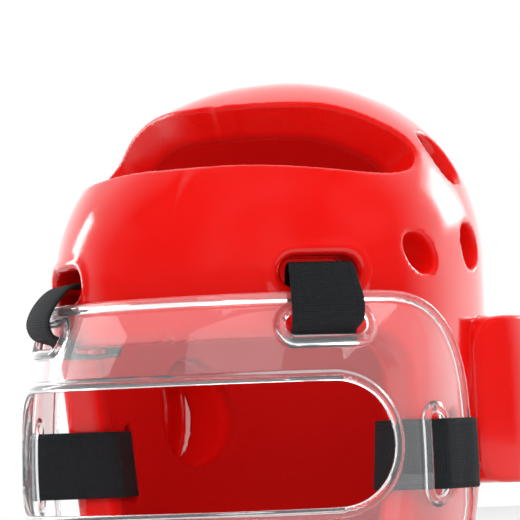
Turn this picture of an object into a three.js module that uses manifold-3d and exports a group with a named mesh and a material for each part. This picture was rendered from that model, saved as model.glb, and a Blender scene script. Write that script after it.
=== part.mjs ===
// Foam head guard with a clear face mask, in millimetres, +Z up.
// The wearer looks along -Y, so +X is the wearer's left. The guard stands on z = 0, with the
// origin under the middle of its box, so the head's axis lies a little behind the origin.
import * as THREE from 'three';
import { mergeVertices } from 'three/addons/utils/BufferGeometryUtils.js';
import Module from 'manifold-3d';

const wasm = await Module();
wasm.setup();

// Foam shell: a dome on a slightly tapering skirt, seen from above as a rounded oval
const CROWN_HEIGHT = 261;
const FOAM = 23;
const HALF_WIDTH = 106;
const HALF_LENGTH = 121;
const DOME_RISE = 105;
const DOME_BASE = CROWN_HEIGHT - DOME_RISE;
const DOME_POWER = 2.1;
const OVAL_POWER = 2.2;
const CROWN_LEAN = { reach: 25, power: 1.3 };
const LOW_TAPER = { width: 12, front: 16, back: 34 };
const NAPE = { lift: 22, startsAt: 112, span: 55 };

// Opening over the forehead, in degrees round the head and degrees up from the dome's centre
const CROWN_OPENING = [
  { round: 0, low: 29.2, high: 58.5 },
  { round: 20, low: 28.8, high: 58 },
  { round: 40, low: 27.3, high: 57 },
  { round: 55, low: 26.4, high: 55.3 },
  { round: 66, low: 27, high: 51.5 },
  { round: 75, low: 29, high: 46.5 },
  { round: 81, low: 32.4, high: 42.5 },
  { round: 84, low: 35.6, high: 39.2 },
];

// Face opening: half angle at each height, from under the jaw up to the brow's lower edge
const BROW_EDGE = CROWN_HEIGHT - 138;
const FACE_OPENING = [
  { z: -20, half: 54 },
  { z: 0, half: 56 },
  { z: 25, half: 60 },
  { z: 46, half: 62 },
  { z: 65, half: 62.3 },
  { z: 84, half: 62 },
  { z: 104, half: 60.5 },
  { z: 113, half: 57.5 },
  { z: 119.5, half: 53 },
  { z: BROW_EDGE, half: 45 },
];

// Vents on the left side, mirrored to the right; lean tilts an outline's top towards the brow
const SIDE_VENTS = [
  { round: 67.5, z: CROWN_HEIGHT - 97.7, width: 21.5, height: 19, lean: 0.35 },
  { round: 97.5, z: CROWN_HEIGHT - 92.5, width: 24, height: 22, lean: 0 },
];
const CROWN_VENT = { round: 102, up: 33.5, width: 25, height: 31 };

// Distances from the axis between which a plug cuts through the foam or through the mask
const FOAM_CUT = { near: 30, far: 230 };
const MASK_CUT = { near: 80, far: 190 };

// Ear cups: upright with round corners, with a sound hole and a hollow for the ear inside
const EAR = { y: 48, z: 91, halfLength: 43, halfHeight: 42.5, corner: 6, reach: 125.5, hole: 24 };
const EAR_HOLLOW = { halfLength: 22, halfHeight: 29, reach: 101 };
const EAR_FACE = { fall: 15, power: 2.2, tilt: 2, tiltPower: 3 };
const EAR_BASE = 90;
// Rings of a cup: share of the way out to its outline, and how far it lies under the face there
const EAR_RINGS = [
  { share: 1, under: 3.2 },
  { share: 0.985, under: 1.2 },
  { share: 0.945, under: 0 },
  { share: 0.75, under: 0 },
  { share: 0.45, under: 0 },
  { share: 0, under: 0 },
];

// Clear mask: a bowed sheet with a raised bead round its edge, its window and its strap slots
const MASK = { top: CROWN_HEIGHT - 116.5, halfAngle: 77, sheet: 2.6, bead: 4.4, beadWidth: 4.6 };
const MASK_TOP_CORNER = { startsAt: 51, drop: 54, power: 2.5 };
const MASK_LOW_CORNER = { startsAt: 52, rise: 42, power: 2 };
const MASK_BOW = { width: 107.4, widthBulge: 8, length: 122.6, lengthBulge: 24, z: 62, span: 82 };
const WINDOW = { halfAngle: 50, low: 42, high: CROWN_HEIGHT - 159.5 };
const CHART_RADIUS = 125;

// Straps: two at the brow and two at the cheeks, each a sewn loop, and one under the chin
const STRAP = { width: 34, thick: 1.8 };
const BROW_STRAP = {
  round: 36.5, foamSlotZ: 154, foamSlotHeight: 15, maskSlotZ: 128.5, slotWidth: 40, slotRadius: 118,
};
const CHEEK_STRAP = {
  z: 65, foamSlotRound: 81.5, foamSlotWidth: 10, maskSlotRound: 63, slotHeight: 40, slotRadius: 103,
};
const MASK_SLOT = { brow: 10, cheek: 9 };
const CHIN_STRAP = { width: 25, thick: 2, standOff: 2.7, y: -4, top: 36, floor: 1.4, bend: 22 };

const RED = { color: 0xe0201a, roughness: 0.18, metalness: 0 };
const CLEAR = { color: 0xeaf2f4, roughness: 0.05, metalness: 0, transparent: true, opacity: 0.3 };
const BLACK = { color: 0x22262a, roughness: 0.85, metalness: 0 };

const radians = THREE.MathUtils.degToRad;

// Rounded oval: distance from the axis at an angle, for given half width and half length
function ovalRadius(round, halfWidth, halfLength) {
  const across = Math.abs(Math.sin(radians(round))) / halfWidth;
  const along = Math.abs(Math.cos(radians(round))) / halfLength;
  return (across ** OVAL_POWER + along ** OVAL_POWER) ** (-1 / OVAL_POWER);
}

// Point at an angle round the head, a distance from the axis and a height
function roundTheHead(round, z, radius) {
  return new THREE.Vector3(radius * Math.sin(radians(round)), -radius * Math.cos(radians(round)), z);
}

// Point at an angle round and an angle up from the dome's centre
function overTheDome(round, up, radius) {
  const point = roundTheHead(round, 0, radius * Math.cos(radians(up)));
  point.z = DOME_BASE + radius * Math.sin(radians(up));
  return point;
}

// Foam wall below the dome, at a depth under the outer skin
function foamRadius(round, z, depth) {
  const drop = Math.max(0, (DOME_BASE - z) / DOME_BASE) ** 2;
  const taper = Math.cos(radians(round)) > 0 ? LOW_TAPER.front : LOW_TAPER.back;
  const halfWidth = HALF_WIDTH - LOW_TAPER.width * drop - depth;
  const halfLength = HALF_LENGTH - taper * drop - depth;
  return ovalRadius(round, halfWidth, halfLength);
}

// Dome skin at a climb from 0 at its base to 1 at the crown
function domePoint(round, climb, depth) {
  const angle = climb * Math.PI / 2;
  const rise = (DOME_RISE - depth) * Math.sin(angle) ** (2 / DOME_POWER);
  const shrink = climb === 1 ? 0 : Math.cos(angle) ** (2 / DOME_POWER);
  const point = roundTheHead(round, DOME_BASE + rise, foamRadius(round, DOME_BASE, depth) * shrink);
  point.y += CROWN_LEAN.reach * (rise / DOME_RISE) ** CROWN_LEAN.power;
  return point;
}

// Inner face of the mask sheet
function maskRadius(round, z) {
  const bulge = 1 - ((z - MASK_BOW.z) / MASK_BOW.span) ** 2;
  const halfWidth = MASK_BOW.width + MASK_BOW.widthBulge * bulge;
  const halfLength = MASK_BOW.length + MASK_BOW.lengthBulge * bulge;
  return ovalRadius(round, halfWidth, halfLength);
}

// Closed geometry between an outer and an inner grid of points, rows by columns
function gridSolid(outer, inner, closedColumns) {
  const points = [...outer.flat(), ...inner.flat()];
  const columns = outer[0].length;
  const half = outer.length * columns;
  const at = (side, row, column) => side * half + row * columns + (column % columns);
  const triangles = [];
  const quad = (a, b, c, d) => triangles.push([a, b, c], [a, c, d]);
  const steps = closedColumns ? columns : columns - 1;
  for (let row = 0; row < outer.length - 1; row += 1) {
    for (let j = 0; j < steps; j += 1) {
      quad(at(0, row, j), at(0, row, j + 1), at(0, row + 1, j + 1), at(0, row + 1, j));
      quad(at(1, row, j), at(1, row + 1, j), at(1, row + 1, j + 1), at(1, row, j + 1));
    }
  }
  const last = outer.length - 1;
  for (let j = 0; j < steps; j += 1) {
    quad(at(0, 0, j), at(1, 0, j), at(1, 0, j + 1), at(0, 0, j + 1));
    quad(at(0, last, j), at(0, last, j + 1), at(1, last, j + 1), at(1, last, j));
  }
  if (!closedColumns) {
    for (let row = 0; row < last; row += 1) {
      quad(at(0, row, 0), at(0, row + 1, 0), at(1, row + 1, 0), at(1, row, 0));
      quad(at(0, row, steps), at(1, row, steps), at(1, row + 1, steps), at(0, row + 1, steps));
    }
  }
  const geometry = new THREE.BufferGeometry().setFromPoints(points);
  geometry.setIndex(triangles.flat());
  return geometry;
}

// Solid from a closed geometry: shared corners merged, slivers dropped, faces pointing out
function solid(geometry) {
  const bare = geometry.clone();
  bare.deleteAttribute('normal');
  bare.deleteAttribute('uv');
  const merged = mergeVertices(bare, 1e-4);
  const index = merged.index.array;
  const position = merged.attributes.position;
  const corner = [new THREE.Vector3(), new THREE.Vector3(), new THREE.Vector3()];
  const triVerts = [];
  let volume = 0;
  for (let i = 0; i < index.length; i += 3) {
    const [a, b, c] = [index[i], index[i + 1], index[i + 2]];
    if (a !== b && b !== c && c !== a) {
      triVerts.push([a, b, c]);
      corner.forEach((vertex, k) => vertex.fromBufferAttribute(position, index[i + k]));
      volume += corner[0].dot(corner[1].clone().cross(corner[2]));
    }
  }
  if (volume < 0) {
    triVerts.forEach((triangle) => triangle.reverse());
  }
  const mesh = new wasm.Mesh({
    numProp: 3,
    vertProperties: new Float32Array(position.array),
    triVerts: new Uint32Array(triVerts.flat()),
  });
  return new wasm.Manifold(mesh);
}

// Named mesh of a finished solid
function namedMesh(name, body, look) {
  const { vertProperties, triVerts } = body.getMesh();
  const geometry = new THREE.BufferGeometry();
  geometry.setAttribute('position', new THREE.BufferAttribute(vertProperties, 3));
  geometry.setIndex(new THREE.BufferAttribute(triVerts, 1));
  geometry.computeVertexNormals();
  const mesh = new THREE.Mesh(geometry, new THREE.MeshStandardMaterial(look));
  mesh.name = name;
  return mesh;
}

function steps(count, from, to) {
  return Array.from({ length: count + 1 }, (_, i) => from + (to - from) * i / count);
}

// Plug that fills a closed outline, drawn in a chart and carried from a near to a far depth
function plug(outline, place, near, far) {
  const centre = outline.reduce((sum, p) => sum.add(p), new THREE.Vector2()).divideScalar(outline.length);
  const shrinks = [1, 0.66, 0.33, 0];
  const layer = (depth) => shrinks.map((shrink) => outline.map((p) => {
    const q = centre.clone().lerp(p, shrink);
    return place(q.x, q.y, depth);
  }));
  return solid(gridSolid(layer(far), layer(near), true));
}

// Ring along a closed outline, from one offset inside it to another outside it
function ring(outline, inside, outside, place, near, far) {
  const shifted = (distance) => outline.map((p, i) => {
    const before = outline.at(i - 1);
    const after = outline[(i + 1) % outline.length];
    const along = after.clone().sub(before).normalize();
    return new THREE.Vector2(p.x + along.y * distance, p.y - along.x * distance);
  });
  const layer = (depth) => [inside, outside].map((distance) => (
    shifted(distance).map((p) => place(p.x, p.y, depth))
  ));
  return solid(gridSolid(layer(far), layer(near), true));
}

// Outline with round ends, in degrees round the head and millimetres up
function stadium(round, z, width, height, radius, count) {
  const end = Math.min(width, height) / 2;
  const shape = new THREE.Shape();
  const [dx, dy] = [width / 2 - end, height / 2 - end];
  shape.moveTo(dx + end, -dy);
  shape.absarc(dx, dy, end, 0, Math.PI / 2);
  shape.absarc(-dx, dy, end, Math.PI / 2, Math.PI);
  shape.absarc(-dx, -dy, end, Math.PI, 1.5 * Math.PI);
  shape.absarc(dx, -dy, end, 1.5 * Math.PI, 2 * Math.PI);
  const points = shape.getSpacedPoints(count).slice(0, count);
  return points.map((p) => new THREE.Vector2(round + THREE.MathUtils.radToDeg(p.x / radius), z + p.y));
}

// Foam shell before it is cut: outer skin, inner skin and the rim that joins them
function foamBlank() {
  const columns = steps(44, 0, 360).slice(0, -1);
  const rim = (round) => {
    const turn = Math.abs(round > 180 ? 360 - round : round);
    const rise = THREE.MathUtils.smoothstep(turn, NAPE.startsAt, NAPE.startsAt + NAPE.span);
    return NAPE.lift * rise;
  };
  const skin = (depth) => {
    const skirt = steps(5, 0, 1).slice(0, -1).map((climb) => columns.map((round) => {
      const z = THREE.MathUtils.lerp(rim(round), DOME_BASE, climb);
      return roundTheHead(round, z, foamRadius(round, z, depth));
    }));
    const dome = steps(8, 0, 1).map((climb) => columns.map((round) => domePoint(round, climb, depth)));
    return [...skirt, ...dome];
  };
  return solid(gridSolid(skin(0), skin(FOAM), true));
}

// Closed outline from rows of a half table: up one side and down the other
function mirroredOutline(rows) {
  const left = rows.map((p) => new THREE.Vector2(-p.x, p.y)).reverse();
  return [...rows, ...left].filter((p, i, all) => p.distanceTo(all.at(i - 1)) > 1e-6);
}

function crownOpeningOutline() {
  const low = CROWN_OPENING.map((row) => new THREE.Vector2(row.round, row.low));
  const high = CROWN_OPENING.map((row) => new THREE.Vector2(row.round, row.high)).reverse();
  const curve = new THREE.SplineCurve([...low, ...high]);
  return mirroredOutline(curve.getPoints(22));
}

function faceOpeningOutline() {
  const curve = new THREE.SplineCurve(FACE_OPENING.map((row) => new THREE.Vector2(row.half, row.z)));
  return mirroredOutline(curve.getPoints(17));
}

// How far out the face of an ear cup is: it falls away to the front and to the back
function earFace(along, up) {
  const { fall, power, tilt, tiltPower } = EAR_FACE;
  return EAR.reach - fall * Math.abs(along) ** power - tilt * Math.abs(up) ** tiltPower;
}

// Ear cup on one side: a round-cornered boss standing out of the foam
function earCup(side) {
  const base = [{ share: 0, x: EAR_BASE }, { share: 1, x: EAR_BASE }];
  const rows = [...base, ...EAR_RINGS];
  const cup = new THREE.LatheGeometry(rows.map((row, i) => new THREE.Vector2(row.share, i)), 28);
  const position = cup.attributes.position;
  for (let i = 0; i < position.count; i += 1) {
    const [x, z] = [position.getX(i), position.getZ(i)];
    const squared = (Math.abs(x) ** EAR.corner + Math.abs(z) ** EAR.corner) ** (1 / EAR.corner);
    const stretch = squared > 0 ? Math.hypot(x, z) / squared : 1;
    const row = rows[Math.round(position.getY(i))];
    const [along, up] = [x * stretch, z * stretch];
    position.setXYZ(i, along, row.x ?? earFace(along, up) - row.under, up);
  }
  cup.scale(EAR.halfLength, 1, EAR.halfHeight);
  cup.rotateZ(-Math.PI / 2);
  cup.translate(0, EAR.y, EAR.z);
  cup.scale(side, 1, 1);
  return solid(cup);
}

// Straight oval hole through one ear cup, along X
function earBore(side, halfLength, halfHeight, from, to) {
  const bore = new THREE.CylinderGeometry(1, 1, to - from, 18);
  bore.rotateX(Math.PI / 2);
  bore.rotateY(Math.PI / 2);
  bore.scale(1, halfLength, halfHeight);
  bore.translate(side * (from + to) / 2, EAR.y, EAR.z);
  return solid(bore);
}

// Vents, strap slots and ear hollow of one side
function sideCuts(side) {
  const { near, far } = FOAM_CUT;
  const through = (outline) => plug(outline, roundTheHead, near, far);
  const vents = SIDE_VENTS.map(({ round, z, width, height, lean }) => {
    const upright = stadium(side * round, z, width, height, HALF_WIDTH, 16);
    const tilt = THREE.MathUtils.radToDeg(lean / HALF_WIDTH);
    return through(upright.map((p) => new THREE.Vector2(p.x - side * tilt * (p.y - z), p.y)));
  });
  const crownVent = stadium(0, 0, CROWN_VENT.width, CROWN_VENT.height, HALF_WIDTH, 16).map((p) => (
    new THREE.Vector2(
      side * CROWN_VENT.round + p.x / Math.cos(radians(CROWN_VENT.up)),
      CROWN_VENT.up + THREE.MathUtils.radToDeg(p.y / HALF_WIDTH),
    )
  ));
  const cheek = CHEEK_STRAP;
  const cheekRound = side * cheek.foamSlotRound;
  const { foamSlotZ, slotWidth, foamSlotHeight, slotRadius } = BROW_STRAP;
  const browSlot = stadium(side * BROW_STRAP.round, foamSlotZ, slotWidth, foamSlotHeight, slotRadius, 18);
  const cheekSlot = stadium(cheekRound, cheek.z, cheek.foamSlotWidth, cheek.slotHeight, cheek.slotRadius, 18);
  return [
    ...vents,
    plug(crownVent, overTheDome, near, far),
    through(browSlot),
    through(cheekSlot),
    earBore(side, EAR.hole / 2, EAR.hole / 2, near, far),
    earBore(side, EAR_HOLLOW.halfLength, EAR_HOLLOW.halfHeight, near, EAR_HOLLOW.reach),
  ];
}

function foamShell() {
  const { near, far } = FOAM_CUT;
  let shell = foamBlank().add(earCup(1)).add(earCup(-1));
  shell = shell.subtract(plug(crownOpeningOutline(), overTheDome, near, far));
  shell = shell.subtract(plug(faceOpeningOutline(), roundTheHead, near, far));
  [...sideCuts(1), ...sideCuts(-1)].forEach((cut) => {
    shell = shell.subtract(cut);
  });
  return shell;
}

// How far a corner of the mask has turned at an angle, from 0 where it starts to 1 at the side
function cornerShare(round, { startsAt, power }) {
  const past = Math.max(0, Math.abs(round) - startsAt) / (MASK.halfAngle - startsAt);
  return 1 - Math.max(0, 1 - past ** power) ** (1 / power);
}

// Height of the mask's upper and lower edge at an angle
function maskTop(round) {
  return MASK.top - MASK_TOP_CORNER.drop * cornerShare(round, MASK_TOP_CORNER);
}

function maskBottom(round) {
  return MASK_LOW_CORNER.rise * cornerShare(round, MASK_LOW_CORNER);
}

const onMask = (round, z, depth) => roundTheHead(round, z, maskRadius(round, z) + depth);

function maskOutline() {
  const turns = steps(24, -90, 90).map((turn) => MASK.halfAngle * Math.sin(radians(turn)));
  const bottom = turns.map((round) => new THREE.Vector2(round, maskBottom(round)));
  const top = turns.map((round) => new THREE.Vector2(round, maskTop(round))).reverse();
  return [...bottom, ...top];
}

// Ring drawn in degrees and millimetres, offset in millimetres on the mask's surface
function maskBead(outline, inside, outside) {
  const scale = THREE.MathUtils.degToRad(CHART_RADIUS);
  const flat = outline.map((p) => new THREE.Vector2(p.x * scale, p.y));
  const place = (x, z, depth) => onMask(x / scale, z, depth);
  return ring(flat, inside, outside, place, -0.3, MASK.bead);
}

function faceMask() {
  const edge = 0.6;
  const turns = steps(24, -90, 90).map((turn) => (MASK.halfAngle - edge) * Math.sin(radians(turn)));
  const layer = (depth) => steps(4, 0, 1).map((climb) => turns.map((round) => {
    const z = THREE.MathUtils.lerp(maskBottom(round) + edge, maskTop(round) - edge, climb);
    return onMask(round, z, depth);
  }));
  let mask = solid(gridSolid(layer(MASK.sheet), layer(0), false));
  mask = mask.add(maskBead(maskOutline(), -MASK.beadWidth, 0));
  const windowHeight = WINDOW.high - WINDOW.low;
  const windowWidth = 2 * radians(WINDOW.halfAngle) * CHART_RADIUS;
  const holes = [
    stadium(0, (WINDOW.high + WINDOW.low) / 2, windowWidth, windowHeight, CHART_RADIUS, 36),
  ];
  [-1, 1].forEach((side) => {
    const { round, maskSlotZ, slotWidth } = BROW_STRAP;
    const { maskSlotRound, z, slotHeight } = CHEEK_STRAP;
    holes.push(stadium(side * round, maskSlotZ, slotWidth, MASK_SLOT.brow, CHART_RADIUS, 16));
    holes.push(stadium(side * maskSlotRound, z, MASK_SLOT.cheek, slotHeight, CHART_RADIUS, 16));
  });
  holes.forEach((hole) => {
    mask = mask.add(maskBead(hole, -1, MASK.beadWidth));
  });
  holes.forEach((hole) => {
    mask = mask.subtract(plug(hole, roundTheHead, MASK_CUT.near, MASK_CUT.far));
  });
  return mask;
}

// Where a strap runs: on the foam's inside or outside, or by the mask, with a stand-off
const strapBases = {
  inside: (round, z) => foamRadius(round, z, FOAM),
  outside: (round, z) => foamRadius(round, z, 0),
  mask: (round, z) => maskRadius(round, z),
};

// Brow strap: up inside the foam, out of its slot, over the mask's edge, in through the mask's slot.
// The left strap is pulled up to the top of its slot; the right one lies in the middle.
const BROW_EXIT = { left: BROW_STRAP.foamSlotZ + 4.2, right: BROW_STRAP.foamSlotZ + 0.6 };
const browRoute = (exit) => [
  { base: 'inside', off: -1.7, z: BROW_EDGE + 0.5 },
  { base: 'inside', off: -2.1, z: BROW_EDGE + 10 },
  { base: 'inside', off: -2.4, z: BROW_EDGE + 18 },
  { base: 'inside', off: -2.5, z: exit - 7 },
  { base: 'inside', off: 0, z: exit - 2.5 },
  { base: 'inside', off: 5, z: exit - 0.8 },
  { base: 'outside', off: -8, z: exit },
  { base: 'outside', off: 1.5, z: exit - 1 },
  { base: 'mask', off: 8.2, z: MASK.top + 5 },
  { base: 'mask', off: 11, z: MASK.top - 3 },
  { base: 'mask', off: 10.4, z: BROW_STRAP.maskSlotZ + 7 },
  { base: 'mask', off: 6, z: BROW_STRAP.maskSlotZ + 1.4 },
  { base: 'mask', off: 0.2, z: BROW_STRAP.maskSlotZ - 0.8 },
  { base: 'outside', off: 3, z: BROW_EDGE + 3 },
  { base: 'outside', off: 1, z: BROW_EDGE - 2.6 },
  { base: 'outside', off: -5, z: BROW_EDGE - 3.8 },
  { base: 'inside', off: 5, z: BROW_EDGE - 3.8 },
  { base: 'inside', off: -0.4, z: BROW_EDGE - 3.2 },
];

// Cheek strap: forward inside the foam, round the cheek's edge, out through the mask and back
const CHEEK_ROUTE = [
  { base: 'inside', off: -2, round: 75 },
  { base: 'inside', off: -2, round: 70 },
  { base: 'inside', off: -2, round: 65 },
  { base: 'inside', off: -2, round: 61.2 },
  { base: 'inside', off: 3, round: 59.8 },
  { base: 'outside', off: -3, round: 60.2 },
  { base: 'outside', off: 3, round: 61 },
  { base: 'mask', off: -5, round: CHEEK_STRAP.maskSlotRound - 1.1 },
  { base: 'mask', off: 2.6, round: CHEEK_STRAP.maskSlotRound + 0.3 },
  { base: 'mask', off: 6, round: CHEEK_STRAP.maskSlotRound + 1.1 },
  { base: 'mask', off: 6.4, round: CHEEK_STRAP.maskSlotRound + 3.6 },
  { base: 'mask', off: 6, round: 70 },
  { base: 'mask', off: 6, round: MASK.halfAngle - 1.4 },
  { base: 'mask', off: 4.2, round: MASK.halfAngle + 1.6 },
  { base: 'mask', off: -2, round: CHEEK_STRAP.foamSlotRound - 0.8 },
  { base: 'outside', off: -2, round: CHEEK_STRAP.foamSlotRound },
  { base: 'inside', off: 6, round: CHEEK_STRAP.foamSlotRound },
  { base: 'inside', off: 0.4, round: CHEEK_STRAP.foamSlotRound - 0.1 },
  { base: 'inside', off: -2.2, round: CHEEK_STRAP.foamSlotRound - 2.8 },
];

// Closed strap from its route at each station across its width
function strapLoop(stations, routeAt) {
  const count = 44;
  const centre = stations.map((station) => (
    new THREE.CatmullRomCurve3(routeAt(station), true, 'centripetal').getSpacedPoints(count).slice(0, count)
  ));
  const layer = (distance) => centre.map((points, k) => points.map((point, j) => {
    const along = points[(j + 1) % count].clone().sub(points.at(j - 1));
    const before = centre[Math.max(0, k - 1)][j];
    const after = centre[Math.min(centre.length - 1, k + 1)][j];
    const normal = along.cross(after.clone().sub(before)).normalize();
    return point.clone().addScaledVector(normal, distance);
  }));
  return solid(gridSolid(layer(STRAP.thick / 2), layer(-STRAP.thick / 2), true));
}

function browStrap(side, exit) {
  const halfAngle = THREE.MathUtils.radToDeg(STRAP.width / 2 / CHART_RADIUS);
  return strapLoop(steps(2, -halfAngle, halfAngle), (shift) => browRoute(exit).map(({ base, off, z }) => {
    const round = side * (BROW_STRAP.round + shift);
    return roundTheHead(round, z, strapBases[base](round, z) + off);
  }));
}

function cheekStrap(side) {
  const half = STRAP.width / 2;
  return strapLoop(steps(2, -half, half), (shift) => CHEEK_ROUTE.map(({ base, off, round }) => {
    const z = CHEEK_STRAP.z + shift;
    return roundTheHead(side * round, z, strapBases[base](round, z) + off);
  }));
}

// Chin strap: down the inside of one jaw flap, along the table and up the other
function chinStrap() {
  const { width, thick, standOff, y, top, floor, bend } = CHIN_STRAP;
  const wallAt = (z) => foamRadius(90, z, FOAM) - standOff;
  const half = [
    new THREE.Vector3(wallAt(top), y, top),
    new THREE.Vector3(wallAt(bend), y, bend),
    new THREE.Vector3(wallAt(bend) - 6, y, bend / 2),
    new THREE.Vector3(wallAt(bend) - bend, y, floor + 1.5),
    new THREE.Vector3(wallAt(bend) / 3, y, floor),
  ];
  const route = [...half, ...half.map((p) => new THREE.Vector3(-p.x, p.y, p.z)).reverse()];
  const points = new THREE.CatmullRomCurve3(route, false, 'centripetal').getPoints(22);
  const side = new THREE.Vector3(0, 1, 0);
  const layer = (distance) => [-width / 2, width / 2].map((shift) => points.map((point, i) => {
    const along = points[Math.min(points.length - 1, i + 1)].clone().sub(points[Math.max(0, i - 1)]);
    const normal = along.cross(side).normalize();
    return point.clone().addScaledVector(normal, distance).addScaledVector(side, shift);
  }));
  return solid(gridSolid(layer(thick / 2), layer(-thick / 2), false));
}

const guard = new THREE.Group();
guard.add(namedMesh('foam_shell', foamShell(), RED));
guard.add(namedMesh('face_mask', faceMask(), CLEAR));
[['left', 1], ['right', -1]].forEach(([name, side]) => {
  guard.add(namedMesh(`brow_strap_${name}`, browStrap(side, BROW_EXIT[name]), BLACK));
  guard.add(namedMesh(`cheek_strap_${name}`, cheekStrap(side), BLACK));
});
guard.add(namedMesh('chin_strap', chinStrap(), BLACK));
guard.position.y = -new THREE.Box3().setFromObject(guard).getCenter(new THREE.Vector3()).y;

export default guard;
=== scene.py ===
# %% [markdown]
# # A foam head guard with a clear face mask
# The guard is a thick foam helmet, dipped in glossy red vinyl, with a clear bowed mask strapped
# in front of it. The CAD model gives the right solids; this lesson gives them their finish.
# We load the CAD model first, as a frame for what is built here.

# %% Load the frame
import math

import bmesh
import bpy
import numpy as np
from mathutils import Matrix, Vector


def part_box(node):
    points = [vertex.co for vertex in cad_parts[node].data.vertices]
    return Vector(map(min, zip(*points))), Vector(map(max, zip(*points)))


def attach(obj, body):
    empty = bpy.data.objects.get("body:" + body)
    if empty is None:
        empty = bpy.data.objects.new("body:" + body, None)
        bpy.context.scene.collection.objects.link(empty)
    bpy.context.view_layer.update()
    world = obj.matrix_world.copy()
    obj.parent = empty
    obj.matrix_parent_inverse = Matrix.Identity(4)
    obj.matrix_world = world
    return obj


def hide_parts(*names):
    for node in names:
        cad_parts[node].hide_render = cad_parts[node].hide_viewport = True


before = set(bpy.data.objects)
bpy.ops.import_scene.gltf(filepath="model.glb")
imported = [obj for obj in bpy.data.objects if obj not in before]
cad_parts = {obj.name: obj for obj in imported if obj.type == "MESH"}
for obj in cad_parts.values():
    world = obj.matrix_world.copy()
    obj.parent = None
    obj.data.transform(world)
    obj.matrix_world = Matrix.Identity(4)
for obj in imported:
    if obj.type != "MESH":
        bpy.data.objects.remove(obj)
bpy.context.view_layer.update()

# %% [markdown]
# ## Where the head is
# The surfaces here come from the same named sizes as the CAD solids, in millimetres, and are
# measured from the upright axis of the head. That axis lies a little behind the origin; the chin
# strap, which sits 4 mm in front of it, tells us where it is.

# %% The head's axis
MM = 0.001
CHIN_STRAP = {
    "width": 25, "thick": 2, "stand_off": 2.7, "y": -4, "top": 36, "floor": 1.4, "bend": 22,
}
chin_low, chin_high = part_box("chin_strap")
AXIS_Y = (chin_low.y + chin_high.y) / 2 / MM - CHIN_STRAP["y"]
print("head axis at y =", round(AXIS_Y, 2), "mm")

# %% [markdown]
# ## Shapes as distances
# Dipped foam has no sharp edge anywhere: every opening ends in a soft round lip. Bevelling so many
# crossing edges is hard, so the foam is described as a distance field instead: a function that is
# negative inside the foam and positive outside. Two distances meet in an exactly round edge when
# they are combined with the two helpers below, whatever the angle.

# %% Round edges
def round_cut(a, b, radius):
    """What is inside both a and b, with the edge between them rounded off."""
    both = np.hypot(np.maximum(a + radius, 0), np.maximum(b + radius, 0))
    return np.minimum(np.maximum(a, b), -radius) + both


def round_join(a, b, radius):
    """What is inside a or b, with the corner between them filled."""
    both = np.hypot(np.maximum(radius - a, 0), np.maximum(radius - b, 0))
    return np.maximum(np.minimum(a, b), radius) - both


sharp = np.zeros(1)
print("a 10 mm lip takes %.2f mm off a square corner" % round_cut(sharp, sharp, 10)[0])

# %% [markdown]
# Openings are easiest to draw flat, on a chart that wraps round the head. A chart stretches what is
# drawn on it, so its values are divided by their own slope, which turns them back into millimetres.
# Charts also tear at the head's axis, so the slope gets a limit there.

# %% Distances on a chart
FLATTEST, STEEPEST = 1e-9, 4


def true_distance(shape, p, step=0.4):
    """Turns a function that is zero on a surface into a distance from it."""
    value = shape(p)
    slope = np.zeros_like(value)
    for axis in range(3):
        moved = p.copy()
        moved[:, axis] += step
        slope += ((shape(moved) - value) / step) ** 2
    return value / np.sqrt(np.clip(slope, FLATTEST, STEEPEST))


def degrees_round(p):
    return np.degrees(np.arctan2(p[:, 0], -p[:, 1]))


def stadium(x, y, width, height):
    """Distance from an outline with round ends."""
    end = min(width, height) / 2
    return np.hypot(np.maximum(np.abs(x) - width / 2 + end, 0),
                    np.maximum(np.abs(y) - height / 2 + end, 0)) - end


print("8 mm from the middle of a 10 mm hole is %.1f mm outside it"
      % stadium(np.full(1, 8.0), np.zeros(1), 10, 10)[0])

# %% [markdown]
# The two big openings have free outlines. Each is a short table of points, with a smooth curve
# drawn through them, and the distance is measured from that curve.

# %% Free outlines
def smooth_line(points, count):
    """Points along a smooth curve through the rows of a table."""
    points = np.array(points, float)
    last = len(points) - 1
    rows = []
    for share in np.linspace(0, last, count):
        i = min(int(share), last - 1)
        t = share - i
        a, b, c, d = (points[k] for k in (max(i - 1, 0), i, i + 1, min(i + 2, last)))
        bend = 2 * a - 5 * b + 4 * c - d + t * (3 * (b - c) + d - a)
        rows.append(b + 0.5 * t * (c - a + t * bend))
    return np.array(rows)


def outline_distance(outline, x, y):
    """Signed distance from a closed outline, negative inside it."""
    nearest = np.full(x.shape, np.inf)
    inside = np.zeros(x.shape, bool)
    for (ax, ay), (bx, by) in zip(outline, np.roll(outline, -1, axis=0)):
        dx, dy = bx - ax, by - ay
        share = np.clip(((x - ax) * dx + (y - ay) * dy) / (dx * dx + dy * dy + 1e-12), 0, 1)
        nearest = np.minimum(nearest, (x - ax - share * dx) ** 2 + (y - ay - share * dy) ** 2)
        if dy:
            crosses = (ay > y) != (by > y)
            inside ^= crosses & (x < ax + (y - ay) * dx / dy)
    return np.where(inside, -1, 1) * np.sqrt(nearest)


square, centre = np.array([(0, 0), (10, 0), (10, 10), (0, 10)]), np.full(1, 5.0)
print("the middle of a 10 mm square:", outline_distance(square, centre, centre)[0], "mm")

# %% [markdown]
# ## From a distance field to a mesh
# A field becomes a mesh by laying a grid over it: each grid cell that the surface crosses gets one
# corner, and neighbouring corners are joined by four-sided faces. Most of the grid is far from any
# surface, so a rough field is asked first, and the full one only near the surface.

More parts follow.
